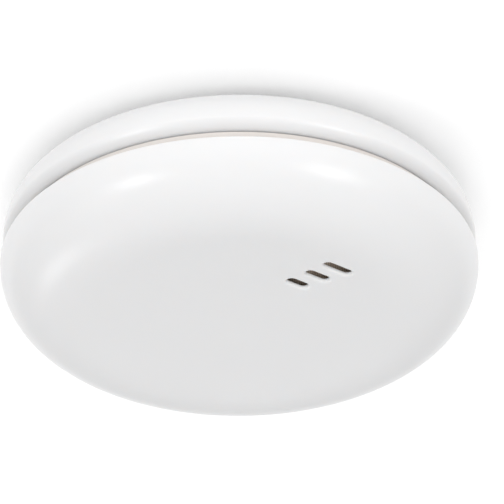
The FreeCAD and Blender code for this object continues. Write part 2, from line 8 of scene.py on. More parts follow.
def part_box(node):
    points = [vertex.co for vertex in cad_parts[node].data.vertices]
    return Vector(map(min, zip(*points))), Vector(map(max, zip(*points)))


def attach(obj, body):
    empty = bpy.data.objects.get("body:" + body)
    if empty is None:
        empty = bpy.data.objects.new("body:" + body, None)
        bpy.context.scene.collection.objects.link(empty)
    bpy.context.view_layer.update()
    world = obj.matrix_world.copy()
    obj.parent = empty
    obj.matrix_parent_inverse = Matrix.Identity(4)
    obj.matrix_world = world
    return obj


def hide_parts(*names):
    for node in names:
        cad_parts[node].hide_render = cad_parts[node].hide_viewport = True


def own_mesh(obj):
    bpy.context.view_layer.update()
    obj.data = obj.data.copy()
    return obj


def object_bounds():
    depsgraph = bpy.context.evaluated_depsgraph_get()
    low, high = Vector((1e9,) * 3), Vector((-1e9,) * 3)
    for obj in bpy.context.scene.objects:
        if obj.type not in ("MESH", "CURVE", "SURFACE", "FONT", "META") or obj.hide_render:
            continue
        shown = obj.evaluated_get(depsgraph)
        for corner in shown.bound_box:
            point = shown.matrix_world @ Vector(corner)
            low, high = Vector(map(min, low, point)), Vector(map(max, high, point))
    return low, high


bl_info = {
    "name": "Ceiling Heat Detector",
    "version": (1, 0, 0),
    "blender": (4, 5, 0),
    "location": "3D View > Sidebar > Detector",
    "description": "Builds a round ceiling heat detector round its engineering model",
    "category": "Add Mesh",
}

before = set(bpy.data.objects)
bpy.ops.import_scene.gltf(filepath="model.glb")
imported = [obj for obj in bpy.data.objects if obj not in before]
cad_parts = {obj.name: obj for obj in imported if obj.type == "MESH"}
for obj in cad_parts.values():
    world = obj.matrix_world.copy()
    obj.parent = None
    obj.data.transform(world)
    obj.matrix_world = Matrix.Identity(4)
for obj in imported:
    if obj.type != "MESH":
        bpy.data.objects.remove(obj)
MODEL_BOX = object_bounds()
COVER_LOW, COVER_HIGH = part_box("front_cover")
HOUSING_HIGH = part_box("back_housing")[1]
PLATE_LOW, PLATE_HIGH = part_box("mounting_plate")
CAGE_LOW, CAGE_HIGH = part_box("vent_cage")
MESH_LOW, MESH_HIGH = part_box("insect_mesh")
BATTERY_LOW, BATTERY_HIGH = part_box("battery")
BOARD_LOW, BOARD_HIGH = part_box("circuit_board")
MM = 0.001
TURN = 2 * math.pi
SCREW_CIRCLE = 39 * MM
SCREW_PLACES = (             # azimuth of each housing screw, and where its post ends
    (80, BOARD_HIGH.z), (0, BOARD_HIGH.z), (-70, BOARD_HIGH.z), (180, BOARD_LOW.z),
)
CAGE_FLOOR_WALL = 1.6 * MM


# ---- Settings that a user would change ----------------------------------------------------
def length(name, description, default):
    """A size in metres, shown in the scene's own length unit."""
    return bpy.props.FloatProperty(
        name=name, description=description, default=default, unit="LENGTH", subtype="DISTANCE"
    )


def angle(name, description, degrees):
    return bpy.props.FloatProperty(
        name=name, description=description, default=math.radians(degrees), subtype="ANGLE"
    )


def count(name, description, default):
    return bpy.props.IntProperty(name=name, description=description, default=default, min=3)


def colour(name, description, default):
    return bpy.props.FloatVectorProperty(
        name=name, description=description, default=default, size=3, subtype="COLOR", min=0, max=1
    )


class CoverSizes(bpy.types.PropertyGroup):
    """Sizes of the domed front cover."""

    radius: length("Radius", "Widest circle of the cover", COVER_HIGH.x)
    rim_level: length("Rim level", "Height of the cover's open rim", -17.2 * MM)
    face_level: length("Face level", "Height of the dished face's rim", COVER_LOW.z)
    face_radius: length("Face radius", "Rim of the dished face", 34.8 * MM)
    dish: length("Dish", "How far the face's centre is sunk", 0.8 * MM)
    wall: length("Wall", "Thickness of the shell", 2.2 * MM)
    window_wall: length("Window wall", "Thickness of the face round the slots", 0.8 * MM)
    window_radius: length("Window radius", "Thinned round behind the slots", 9.3 * MM)
    rim_round: length("Rim rounding", "Radius on the edges of the rim", 0.3 * MM)
    slot_width: length("Slot width", "Width of each sound slot", 2.1 * MM)
    slot_pitch: length("Slot pitch", "Distance from one slot to the next", 5.45 * MM)
    slot_x: length("Slot X", "Place of the middle slot", 17.1 * MM)
    slot_y: length("Slot Y", "Place of the middle slot", -17.4 * MM)
    slot_row: angle("Slot row", "Direction from the inner slot to the outer one", -37.0)
    slot_axis: angle("Slot axis", "Direction in which each slot is long", 37.0)
    slot_round: length("Slot rounding", "Radius on each slot's outer edge", 0.7 * MM)


class RingSizes(bpy.types.PropertyGroup):
    """Sizes of the upper ring and of what shows in the air groove."""

    top_level: length("Top level", "Height of the ring's top edge", HOUSING_HIGH.z)
    top_radius: length("Top radius", "Outside of the ring's top edge", 39.8 * MM)
    recess_radius: length("Recess radius", "Room for the mounting plate", 37.5 * MM)
    bulge_radius: length("Bulge radius", "Widest circle of the ring", HOUSING_HIGH.x)
    lip_radius: length("Lip radius", "Where the rolled edge ends", 50.1 * MM)
    lip_level: length("Lip level", "Height of the ring's lip", -14.0 * MM)
    roll: length("Roll", "Height of the rolled edge", 2.2 * MM)
    flange_radius: length("Flange radius", "Inner edge of the ring's flange", 46.4 * MM)
    flange_wall: length("Flange wall", "Thickness of the flange", 1.6 * MM)
    wall_top: length("Wall top", "Upper face of the back wall", -5.0 * MM)
    wall_bottom: length("Wall bottom", "Lower face of the back wall", -6.8 * MM)
    vent_bars: count("Vent bars", "Bars round the cage", 36)
    mesh_wires: count("Mesh wires", "Upright wires round the insect mesh", 300)


class DetectorColours(bpy.types.PropertyGroup):
    """Colours of the mouldings and of the pieces inside."""

    cover: colour("Cover", "Glossy front cover", (0.672, 0.672, 0.676))
    ring: colour("Ring", "Glossy upper ring", (0.672, 0.672, 0.676))
    # Painted light: the cage's warm tint is painted warm bounce light in the air groove; the
    # moulding itself is white.
    cage: colour("Cage", "Satin moulding in the air groove", (0.62, 0.58, 0.55))
    plate: colour("Plate", "Mounting plate", (0.74, 0.74, 0.72))
    board: colour("Board", "Solder mask", (0.015, 0.14, 0.05))
    module: colour("Radio board", "Solder mask of the radio module", (0.01, 0.04, 0.16))
    cell: colour("Battery", "Shrink sleeve", (0.03, 0.05, 0.12))
    cell_band: colour("Battery band", "Band at the plus end", (0.70, 0.55, 0.20))
    screen: colour("Screen", "Dust cloth behind the slots", (0.62, 0.52, 0.43))


def sizes(name):
    return getattr(bpy.context.scene, name)


# ---- Shader maths -------------------------------------------------------------------------
class Signal:
    """A number that varies over a surface. Arithmetic on it adds Math nodes."""

    def __init__(self, finish, socket):
        self.finish = finish
        self.socket = socket

    def _math(self, operation, *values):
        values = [getattr(value, "socket", value) for value in values]
        node = self.finish.node("ShaderNodeMath", {"operation": operation}, dict(enumerate(values)))
        return Signal(self.finish, node.outputs[0])

    def __add__(self, other):
        return self._math("ADD", self, other)

    def __sub__(self, other):
        return self._math("SUBTRACT", self, other)

    def __rsub__(self, other):
        return self._math("SUBTRACT", other, self)

    def __mul__(self, other):
        return self._math("MULTIPLY", self, other)

    def __pow__(self, other):
        return self._math("POWER", self, other)

    def __gt__(self, other):
        return self._math("GREATER_THAN", self, other)

    def __lt__(self, other):
        return self._math("LESS_THAN", self, other)

    def sine(self):
        return self._math("SINE", self)

    def highest(self, other):
        return self._math("MAXIMUM", self, other)

    __radd__ = __add__
    __rmul__ = __mul__


class Finish:
    """A material for one of the detector's pieces, read in Object coordinates."""

    def __init__(self, name, **fixed):
        self.material = bpy.data.materials.new(name)
        self.material.use_nodes = True
        self.tree = self.material.node_tree
        self.shader = self.tree.nodes["Principled BSDF"]
        self.place = self.node("ShaderNodeTexCoord").outputs["Object"]
        for socket, value in fixed.items():
            self.shader.inputs[socket.replace("_", " ")].default_value = value

    def node(self, kind, settings=None, inputs=None):
        """Adds a node: its settings first, then a value or a link for each socket."""
        made = self.tree.nodes.new(kind)
        for key, value in (settings or {}).items():
            if key == "ramp":
                self._stops(made.color_ramp, value)
            else:
                setattr(made, key, value)
        for key, value in (inputs or {}).items():
            value = getattr(value, "socket", value)
            if isinstance(value, bpy.types.NodeSocket):
                self.tree.links.new(value, made.inputs[key])
            else:
                made.inputs[key].default_value = value
        return made

    def _stops(self, ramp, stops):
        while len(ramp.elements) < len(stops):
            ramp.elements.new(0.5)
        for element, (position, shade) in zip(ramp.elements, stops):
            element.position = position
            element.color = (*shade, 1.0)

    def stretched(self, scale):
        """Object coordinates, scaled along each axis."""
        inputs = {"Vector": self.place, "Scale": scale}
        return self.node("ShaderNodeMapping", None, inputs).outputs[0]

    def noise(self, scale, detail=2.0, stretch=(1, 1, 1)):
        inputs = {"Vector": self.stretched(stretch), "Scale": scale, "Detail": detail}
        return Signal(self, self.node("ShaderNodeTexNoise", None, inputs).outputs[0])

    def cells(self, scale, feature="F1"):
        inputs = {"Vector": self.place, "Scale": scale}
        made = self.node("ShaderNodeTexVoronoi", {"feature": feature}, inputs)
        return Signal(self, made.outputs["Distance"])

    def axes(self):
        """The three Object coordinates as signals, in metres."""
        parts = self.node("ShaderNodeSeparateXYZ", None, {0: self.place})
        return [Signal(self, socket) for socket in parts.outputs]

    def ramp(self, signal, *stops):
        """A signal as a smooth step or a chain of colours."""
        made = self.node("ShaderNodeValToRGB", {"ramp": stops}, {0: signal})
        return made.outputs[0]

    def step(self, signal, low, high):
        """0 below low, 1 above high, and a straight climb between."""
        inputs = {"Value": signal, "From Min": low, "From Max": high}
        made = self.node("ShaderNodeMapRange", {"clamp": True}, inputs)
        return Signal(self, made.outputs[0])

    def blend(self, mask, first, second):
        """First colour where the mask is 0, second where it is 1."""
        inputs = {0: mask, 6: first, 7: second}
        return self.node("ShaderNodeMix", {"data_type": "RGBA"}, inputs).outputs[2]

    def paint(self, socket, value):
        value = getattr(value, "socket", value)
        self.tree.links.new(value, self.shader.inputs[socket])

    def bump(self, height, strength, depth):
        """Relief: depth is its real height in metres."""
        inputs = {"Height": height, "Strength": strength, "Distance": depth}
        self.paint("Normal", self.node("ShaderNodeBump", None, inputs).outputs[0])


def shade(colour, factor=1.0):
    """A colour with its alpha, lighter or darker."""
    return (*[min(1.0, part * factor) for part in colour], 1.0)


# ---- Finishes -----------------------------------------------------------------------------
def glossy_moulding(name, colour, roughness=0.3):
    """Polished white plastic: faint flow marks, a breath of dust and fine orange peel."""
    finish = Finish(
        name, Coat_Roughness=0.28, IOR=1.5,
        Subsurface_Weight=0.5, Subsurface_Radius=(1.0, 0.85, 0.75), Subsurface_Scale=1.5 * MM,
    )
    flow = finish.noise(45, 3, (1, 1, 2.2))
    dust = finish.step(finish.noise(950, 4), 0.62, 0.8)
    clean = finish.blend(flow, shade(colour, 0.985), shade(colour, 1.01))
    finish.paint("Base Color", finish.blend(dust * 0.05, clean, shade(colour, 0.8)))
    finish.paint("Roughness", finish.noise(160, 3) * 0.05 + dust * 0.04 + (roughness - 0.025))
    finish.paint("Coat Weight", flow * 0.1 + 0.1)
    finish.bump(finish.noise(700, 2), 0.05, 0.02 * MM)
    return finish.material


def satin_moulding(name, colour, roughness=0.5):
    """Spark-eroded plastic: fine even grain and slightly darker hollows."""
    finish = Finish(name, IOR=1.48)
    grain = finish.noise(4200, 3)
    tone = finish.noise(60, 3)
    finish.paint("Base Color", finish.blend(tone, shade(colour, 0.94), shade(colour, 1.04)))
    finish.paint("Roughness", grain * 0.12 + (roughness - 0.06))
    finish.bump(grain, 0.35, 0.03 * MM)
    return finish.material


def dark_moulding(name, colour):
    finish = Finish(name, IOR=1.47)
    grain = finish.noise(5200, 4)
    scuff = finish.step(finish.noise(350, 6, (1, 6, 1)), 0.62, 0.7)
    finish.paint("Base Color", finish.blend(scuff * 0.5, shade(colour), shade(colour, 1.8)))
    finish.paint("Roughness", grain * 0.15 + 0.42)
    finish.bump(grain, 0.4, 0.03 * MM)
    return finish.material


def drawn_metal(name, colour, stretch=(1, 1, 12), roughness=0.28):
    """Bright metal with fine lines along its working direction and a few dull patches."""
    finish = Finish(name)
    lines = finish.noise(1500, 3, stretch)
    patch = finish.step(finish.noise(300, 4), 0.5, 0.75)
    finish.shader.inputs["Metallic"].default_value = 1.0
    finish.paint("Base Color", finish.blend(patch, shade(colour), shade(colour, 0.78)))
    finish.paint("Roughness", lines * 0.12 + patch * 0.1 + (roughness - 0.06))
    finish.bump(lines, 0.25, 0.01 * MM)
    return finish.material


def solder_mask(name, colour):
    """Solder mask over copper: tracks stand proud, bare pads are tinned."""
    finish = Finish(name, Coat_Weight=0.3)
    x, y, z = finish.axes()
    route = finish.noise(90, 1)
    lanes = ((x * 2600 + y * 400 + route * 9).sine() * 0.5 + 0.5) > 0.62
    cross = ((y * 1900 - x * 300 + route * 7).sine() * 0.5 + 0.5) > 0.8
    tracks = lanes.highest(cross) * (finish.noise(120, 0) > 0.45)
    pads = finish.cells(420) < 0.16
    mask = finish.blend(tracks, shade(colour), shade(colour, 2.0))
    finish.paint("Base Color", finish.blend(pads, mask, (0.72, 0.70, 0.64, 1)))
    finish.paint("Metallic", pads * 0.9)
    finish.paint("Roughness", 0.42 - tracks * 0.08 - pads * 0.1)
    finish.bump(tracks + pads * 0.6, 0.5, 0.04 * MM)
    return finish.material


def chip_epoxy(name):
    """Black moulding compound with a matt grain."""
    finish = Finish(name)
    grain = finish.noise(6000, 4)
    dark, light = (0.012, 0.012, 0.013, 1), (0.03, 0.03, 0.032, 1)
    finish.paint("Base Color", finish.blend(grain, dark, light))
    finish.paint("Roughness", grain * 0.2 + 0.45)
    finish.bump(grain, 0.5, 0.02 * MM)
    return finish.material


def cell_sleeve(name, colour, band):
    """Shrink sleeve on the battery, with one plain band and fine shrink lines."""
    finish = Finish(name, Coat_Weight=0.2)
    x, y, z = finish.axes()
    at_plus = finish.step(y, BATTERY_HIGH.y - 7.0 * MM, BATTERY_HIGH.y - 6.9 * MM)
    lines = finish.noise(900, 3, (1, 9, 1))
    sleeve = finish.blend(at_plus, shade(colour), shade(band))
    bare = finish.step(y, BATTERY_HIGH.y - 1.3 * MM, BATTERY_HIGH.y - 1.2 * MM)
    finish.paint("Base Color", finish.blend(bare, sleeve, (0.62, 0.61, 0.58, 1)))
    finish.paint("Metallic", bare * 0.95 + at_plus * (1 - bare) * 0.4)
    finish.paint("Roughness", lines * 0.12 + 0.26)
    finish.bump(lines, 0.2, 0.02 * MM)
    return finish.material


def spun_disc(name, colour, metallic, roughness):
    """Rolled sheet punched to a disc: rings of fine lines round its centre."""
    finish = Finish(name, Metallic=metallic)
    low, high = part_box("piezo_disc")
    x, y, z = finish.axes()
    from_x = x - (low.x + high.x) / 2
    from_y = y - (low.y + high.y) / 2
    radius = (from_x * from_x + from_y * from_y) ** 0.5
    rings = (radius * 30000).sine() * 0.5 + 0.5
    stain = finish.noise(260, 4)
    finish.paint("Base Color", finish.blend(stain, shade(colour), shade(colour, 0.8)))
    finish.paint("Roughness", rings * 0.08 + stain * 0.1 + roughness)
    finish.bump(rings, 0.15, 0.01 * MM)
    return finish.material


def fired_ceramic(name, colour):
    finish = Finish(name, Coat_Weight=0.15)
    speckle = finish.step(finish.noise(2600, 5), 0.55, 0.7)
    finish.paint("Base Color", finish.blend(speckle, shade(colour), shade(colour, 0.7)))
    finish.paint("Roughness", speckle * 0.2 + 0.3)
    finish.bump(speckle, 0.3, 0.02 * MM)
    return finish.material


def dust_cloth(name, colour):
    """Plain weave: two sets of threads, each rising where the other dips."""
    finish = Finish(name, Roughness=0.9)
    x, y, z = finish.axes()
    warp = (x * 16000).sine() * 0.5 + 0.5
    weft = (y * 16000).sine() * 0.5 + 0.5
    threads = warp.highest(weft)
    # Painted shade and light: the dips between the threads are painted darker as shade, and the
    # thread crowns painted lighter as lit.
    finish.paint("Base Color", finish.blend(threads, shade(colour, 0.4), shade(colour, 1.3)))
    finish.bump(threads, 0.8, 0.1 * MM)
    return finish.material


def clear_moulding(name):
    finish = Finish(name, Transmission_Weight=1.0, IOR=1.49)
    haze = finish.noise(500, 3)
    finish.paint("Base Color", finish.blend(haze, (0.97, 0.98, 0.98, 1), (0.90, 0.93, 0.93, 1)))
    finish.paint("Roughness", haze * 0.08 + 0.02)
    finish.bump(haze, 0.05, 0.02 * MM)
    return finish.material


def resin(name, colour, roughness=0.25):
    """Dipped or cast resin with a slightly uneven skin."""
    finish = Finish(name, Coat_Weight=0.3)
    skin = finish.noise(1400, 3)
    finish.paint("Base Color", finish.blend(skin, shade(colour, 0.85), shade(colour, 1.1)))
    finish.paint("Roughness", skin * 0.1 + roughness)
    finish.bump(skin, 0.3, 0.03 * MM)
    return finish.material


# ---- Mesh helpers -------------------------------------------------------------------------
def outline(mesh, points, closed):
    """A line of edges through (radius, level) points, in the plane y = 0."""
    verts = [mesh.verts.new((radius, 0, level)) for radius, level in points]
    ends = zip(verts, verts[1:] + verts[:1]) if closed else zip(verts, verts[1:])
    return verts, [mesh.edges.new(pair) for pair in ends]


def turn_outline(mesh, points, segments, closed=True, sweep=TURN):
    """Spins an outline round the Z axis, all the way unless a sweep is given."""
    verts, edges = outline(mesh, points, closed)
    whole = sweep == TURN
    made = bmesh.ops.spin(
        mesh, geom=verts + edges, axis=(0, 0, 1), angle=sweep, steps=segments, use_merge=whole
    )
    if not whole:
        last = [item for item in made["geom_last"] if isinstance(item, bmesh.types.BMEdge)]
        for loop in (edges, last):
            bmesh.ops.contextual_create(mesh, geom=loop)
    bmesh.ops.remove_doubles(mesh, verts=mesh.verts, dist=1e-7)


def rounded(start, corner, end, radius, steps=4):
    """Points of a fillet at a corner between two neighbours of an outline."""
    corner = Vector(corner)
    before = (Vector(start) - corner).normalized()
    after = (Vector(end) - corner).normalized()
    half = before.angle(after) / 2
    reach = radius / math.tan(half)
    centre = corner + (before + after).normalized() * (radius / math.sin(half))
    first = corner + before * reach - centre
    last = corner + after * reach - centre
    points = []
    for step in range(steps + 1):
        arm = first.slerp(last, step / steps).normalized() * radius
        points.append(tuple(centre + arm))
    return points


def quarter(start, end, power, steps):
    """A squared quarter-ellipse of (radius, level) points: upright first, level last."""
    points = []
    for step in range(steps + 1):
        turn = TURN / 4 * step / steps
        across = max(math.cos(turn), 0.0) ** (2 / power)
        along = math.sin(turn) ** (2 / power)
        radius = end[0] + (start[0] - end[0]) * across
        points.append((radius, start[1] + (end[1] - start[1]) * along))
    return points


def edges_of(items):
    """Each edge of some vertices or faces, once."""
    found = {}
    for item in items:
        edges = item.link_edges if isinstance(item, bmesh.types.BMVert) else item.edges
        found.update(dict.fromkeys(edges))
    return list(found)


def faces_of(verts):
    """Each face at some vertices, once."""
    return list(dict.fromkeys(face for vert in verts for face in vert.link_faces))


def add_box(mesh, low, high, bevel=0.0):
    """A box between two corners, with its edges softened."""
    low = Vector(low)
    high = Vector(high)
    place = Matrix.Translation((low + high) / 2) @ Matrix.Diagonal((*(high - low), 1))
    made = bmesh.ops.create_cube(mesh, size=1.0, matrix=place)
    if bevel:
        bmesh.ops.bevel(
            mesh, geom=edges_of(made["verts"]), offset=bevel, segments=2, profile=0.5,
            affect="EDGES", material=-1,
        )
    return made


def add_rod(mesh, radius, low, high, centre, segments=24, bevel=0.0):
    """An upright rod with softened ends."""
    place = Matrix.Translation((centre[0], centre[1], (low + high) / 2))
    made = bmesh.ops.create_cone(
        mesh, cap_ends=True, segments=segments, radius1=radius, radius2=radius,
        depth=high - low, matrix=place,
    )
    if bevel:
        ends = [face for face in faces_of(made["verts"]) if len(face.verts) > 4]
        bmesh.ops.bevel(
            mesh, geom=edges_of(ends), offset=bevel, segments=2, profile=0.5,
            affect="EDGES", material=-1,
        )
    return made


def round_copies(mesh, verts, copies, first):
    """Turns a shape to its first azimuth and repeats it evenly round the Z axis."""
    geometry = list(verts) + edges_of(verts) + faces_of(verts)
    bmesh.ops.rotate(mesh, verts=verts, cent=(0, 0, 0), matrix=Matrix.Rotation(first, 3, "Z"))
    for index in range(1, copies):
        made = bmesh.ops.duplicate(mesh, geom=geometry)["geom"]
        copied = [item for item in made if isinstance(item, bmesh.types.BMVert)]
        turned = Matrix.Rotation(TURN * index / copies, 3, "Z")
        bmesh.ops.rotate(mesh, verts=copied, cent=(0, 0, 0), matrix=turned)


def fresh_part(build):
    """Runs a shape's builder on a new mesh, so that its own vertices are known."""
    mesh = bmesh.new()
    build(mesh)
    return mesh


def join(target, part, copies=1, first=0.0):
    """Adds a small mesh to a larger one, repeated round the Z axis."""
    holder = bpy.data.meshes.new("holder")
    round_copies(part, list(part.verts), copies, first)
    part.to_mesh(holder)
    part.free()
    target.from_mesh(holder)
    bpy.data.meshes.remove(holder)


def finished(mesh, name, body, material, replaces=(), crease=35.0):
    """Turns a mesh into a smooth-shaded piece that rides on a body."""
    bmesh.ops.recalc_face_normals(mesh, faces=mesh.faces)
    data = bpy.data.meshes.new(name)
    mesh.to_mesh(data)
    mesh.free()
    for polygon in data.polygons:
        polygon.use_smooth = True
    data.set_sharp_from_angle(angle=math.radians(crease))
    data.materials.append(material)
    piece = bpy.data.objects.new(name, data)
    bpy.context.scene.collection.objects.link(piece)
    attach(piece, body)
    if replaces:
        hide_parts(*replaces)
    return piece


# ---- Front cover --------------------------------------------------------------------------
COVER_SEGMENTS = 192
SLOT_SEGMENTS = 28
WINDOW_SEGMENTS = 72
SLOT_LENGTHS = (5.2 * MM, 5.9 * MM, 7.1 * MM)


def dish_level(cover, x, y, above=0.0):
    """Height of the dished face at a place, or of a layer above it."""
    share = min(1.0, (x * x + y * y) / cover.face_radius ** 2)
    return cover.face_level + cover.dish * (1 - share) + above


def dish_points(cover, above, rings=14):
    """Outline of the dish from its rim to the axis."""
    radii = [cover.face_radius * (1 - ring / rings) for ring in range(1, rings + 1)]
    return [(radius, dish_level(cover, radius, 0, above)) for radius in radii]


def cover_outline(cover):
    inner_radius = cover.radius - cover.wall
    outer_rim = (cover.radius, cover.rim_level)
    inner_rim = (inner_radius, cover.rim_level)
    soft = cover.rim_round
    shoulder = quarter(
        (cover.radius, cover.rim_level - soft), (cover.face_radius, cover.face_level), 2.2, 28
    )
    inner_face = (cover.face_radius, cover.face_level + cover.wall)
    inside = quarter((inner_radius, cover.rim_level - soft), inner_face, 2.2, 18)
    below_outer = (cover.radius, cover.rim_level - 3 * soft)
    below_inner = (inner_radius, cover.rim_level - 3 * soft)
    rim = rounded(below_inner, inner_rim, outer_rim, soft)
    rim += rounded(inner_rim, outer_rim, below_outer, soft)
    points = dish_points(cover, cover.wall)[::-1] + inside[::-1] + rim[1:]
    points += shoulder[1:] + dish_points(cover, 0.0)
    return points


def slot_places(cover):
    """Centre and length of each slot, from the inner one to the outer one."""
    for index, length in enumerate(SLOT_LENGTHS):
        step = cover.slot_pitch * (index - 1)
        x = cover.slot_x + step * math.cos(cover.slot_row)
        y = cover.slot_y + step * math.sin(cover.slot_row)
        yield x, y, length


def slot_loop(mesh, cover, place, grow, above):
    """A stadium round one slot, a little larger than it, at a level above the dish."""
    x, y, length = place
    radius = cover.slot_width / 2
    verts = bmesh.ops.create_circle(mesh, segments=SLOT_SEGMENTS, radius=radius + grow)["verts"]
    verts = sorted(verts, key=lambda vert: math.atan2(vert.co.y, vert.co.x))
    half_step = Matrix.Rotation(TURN / SLOT_SEGMENTS / 2, 3, "Z")
    bmesh.ops.rotate(mesh, verts=verts, cent=(0, 0, 0), matrix=half_step)
    for vert in verts:
        vert.co.x += math.copysign(length / 2 - radius, vert.co.x)
    turned = Matrix.Rotation(cover.slot_axis, 3, "Z")
    bmesh.ops.rotate(mesh, verts=verts, cent=(0, 0, 0), matrix=turned)
    bmesh.ops.translate(mesh, verts=verts, vec=(x, y, 0))
    for vert in verts:
        vert.co.z = dish_level(cover, vert.co.x, vert.co.y, above)
    return verts


def window_loop(mesh, cover, radius, above):
    """A circle round the thinned window, at a level above the dish."""
    verts = bmesh.ops.create_circle(mesh, segments=WINDOW_SEGMENTS, radius=radius)["verts"]
    verts = sorted(verts, key=lambda vert: math.atan2(vert.co.y, vert.co.x))
    bmesh.ops.translate(mesh, verts=verts, vec=(cover.slot_x, cover.slot_y, 0))
    for vert in verts:
        vert.co.z = dish_level(cover, vert.co.x, vert.co.y, above)
    return verts


def loop_edges(verts):
    """The edges between the vertices of one loop."""
    inside = set(verts)
    return [edge for edge in edges_of(verts) if inside.issuperset(edge.verts)]


def skin(mesh, loops):
    """Quads from each loop to the next."""
    for first, second in zip(loops, loops[1:]):
        for index in range(len(first)):
            near = (first[index - 1], first[index])
            mesh.faces.new((*near, second[index], second[index - 1]))


def open_window(mesh, doomed):
    """Removes some of the dish's faces and returns the edge of the opening."""
    edge_uses = {}
    for face in doomed:
        for edge in face.edges:
            edge_uses[edge] = edge_uses.get(edge, 0) + 1
    rim = [edge for edge, uses in edge_uses.items() if uses == 1]
    inner = [edge for edge, uses in edge_uses.items() if uses > 1]
    bmesh.ops.delete(mesh, geom=doomed, context="FACES_ONLY")
    bmesh.ops.delete(mesh, geom=inner, context="EDGES")
    loose = [vert for vert in mesh.verts if not vert.link_edges]
    bmesh.ops.delete(mesh, geom=loose, context="VERTS")
    return rim


# How far the faces that are cut away reach past the slots and the thinned window
SLOT_SIDE_ROOM = 4.4 * MM
SLOT_END_ROOM = 2.6 * MM
WINDOW_ROOM = 1.3 * MM


def cut_slots(mesh, cover):
    """Opens the three slots, each with a soft outer edge, and thins the face behind them."""
    turned = Matrix.Rotation(-cover.slot_row, 3, "Z")
    middle = Vector((cover.slot_x, cover.slot_y, 0))
    split = cover.face_level + cover.wall / 2 + cover.dish / 2
    reach = (cover.slot_pitch + SLOT_SIDE_ROOM, max(SLOT_LENGTHS) / 2 + SLOT_END_ROOM)
    outer = []
    inner = []
    for face in mesh.faces:
        centre = face.calc_center_median()
        across = turned @ (centre - middle)
        if centre.z > split and across.xy.length < cover.window_radius + WINDOW_ROOM:
            inner.append(face)
        elif centre.z < split and abs(across.x) < reach[0] and abs(across.y) < reach[1]:
            outer.append(face)
    outer_rim = open_window(mesh, outer)
    inner_rim = open_window(mesh, inner)

    soft = cover.slot_round
    outer_fill = list(outer_rim)
    window_fill = []
    for place in slot_places(cover):
        loops = [slot_loop(mesh, cover, place, soft + 0.25 * MM, 0.0)]
        outer_fill += loop_edges(loops[0])
        steps = 6
        for step in range(steps + 1):
            turn = TURN / 4 * step / steps
            grow = soft * (1 - math.sin(turn))
            loops.append(slot_loop(mesh, cover, place, grow, soft * (1 - math.cos(turn))))
        loops.append(slot_loop(mesh, cover, place, 0.0, cover.window_wall))
        window_fill += loop_edges(loops[-1])
        skin(mesh, loops)
    loops = [
        window_loop(mesh, cover, cover.window_radius, cover.window_wall),
        window_loop(mesh, cover, cover.window_radius, cover.wall),
    ]
    window_fill += loop_edges(loops[0])
    inner_fill = inner_rim + loop_edges(loops[1])
    skin(mesh, loops)
    for edges in (outer_fill, window_fill, inner_fill):
        bmesh.ops.triangle_fill(
            mesh, use_beauty=True, use_dissolve=False, edges=edges, normal=(0, 0, 1)
        )


class DETECTOR_OT_front_cover(bpy.types.Operator):
    """Build the domed front cover with its dished face and three sound slots"""

    bl_idname = "detector.front_cover"
    bl_label = "Front Cover"

    def execute(self, context):
        cover = sizes("cover_sizes")
        colours = sizes("detector_colours")
        mesh = bmesh.new()
        turn_outline(mesh, cover_outline(cover), COVER_SEGMENTS, closed=False)
        cut_slots(mesh, cover)
        material = glossy_moulding("polished_cover_white", colours.cover)
        finished(mesh, "front_cover_shell", "cover", material, ["front_cover"], 50)
        return {"FINISHED"}


# ---- Cover's inner fittings ---------------------------------------------------------------
STATIONS = 3
STATION_AZIMUTH = math.radians(30.0)


class DETECTOR_OT_cover_fittings(bpy.types.Operator):
    """Build the hooks, guide pins and test post moulded inside the cover"""

    bl_idname = "detector.cover_fittings"
    bl_label = "Cover Fittings"

    def execute(self, context):
        cover = sizes("cover_sizes")
        root = cover.face_level + cover.wall - 0.8 * MM
        floor_top = CAGE_LOW.z + CAGE_FLOOR_WALL
        mesh = bmesh.new()

        def hook(part):
            half = 2 * MM
            low = (40.5 * MM, -half, root)
            add_box(part, low, (41.7 * MM, half, floor_top + 1.7 * MM), 0.2 * MM)
            add_box(
                part, (39.4 * MM, -1.8 * MM, floor_top + 0.1 * MM),
                (40.9 * MM, 1.8 * MM, floor_top + 0.9 * MM), 0.25 * MM,
            )

        def pin(part):
            place = (37.2 * MM, 0)
            add_rod(part, 2.8 * MM, root, -25.0 * MM, place, 32, 0.25 * MM)
            add_rod(part, 1.3 * MM, -25.2 * MM, floor_top + 0.7 * MM, place, 24, 0.3 * MM)

        join(mesh, fresh_part(hook), STATIONS, STATION_AZIMUTH)
        join(mesh, fresh_part(pin), STATIONS, STATION_AZIMUTH)
        plunger_low, plunger_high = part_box("test_switch_plunger")
        place = ((plunger_low.x + plunger_high.x) / 2, (plunger_low.y + plunger_high.y) / 2)
        top = plunger_low.z - 0.05 * MM
        add_rod(mesh, 2.2 * MM, root, top, place, 32, 0.3 * MM)
        for quarter_turn in range(4):
            azimuth = TURN * quarter_turn / 4
            arm = Vector((math.cos(azimuth), math.sin(azimuth), 0)) * 3.0 * MM
            centre = Vector((place[0], place[1], 0))
            half_wall = Vector((0.5, 0.5, 0)) * MM
            low = Vector((min(0, arm.x), min(0, arm.y), root)) - half_wall
            high = Vector((max(0, arm.x), max(0, arm.y), root + 6 * MM)) + half_wall
            add_box(mesh, centre + low, centre + high, 0.15 * MM)
        material = satin_moulding("inside_cover_white", sizes("detector_colours").cover, 0.4)
        finished(mesh, "cover_fittings", "cover", material)
        return {"FINISHED"}


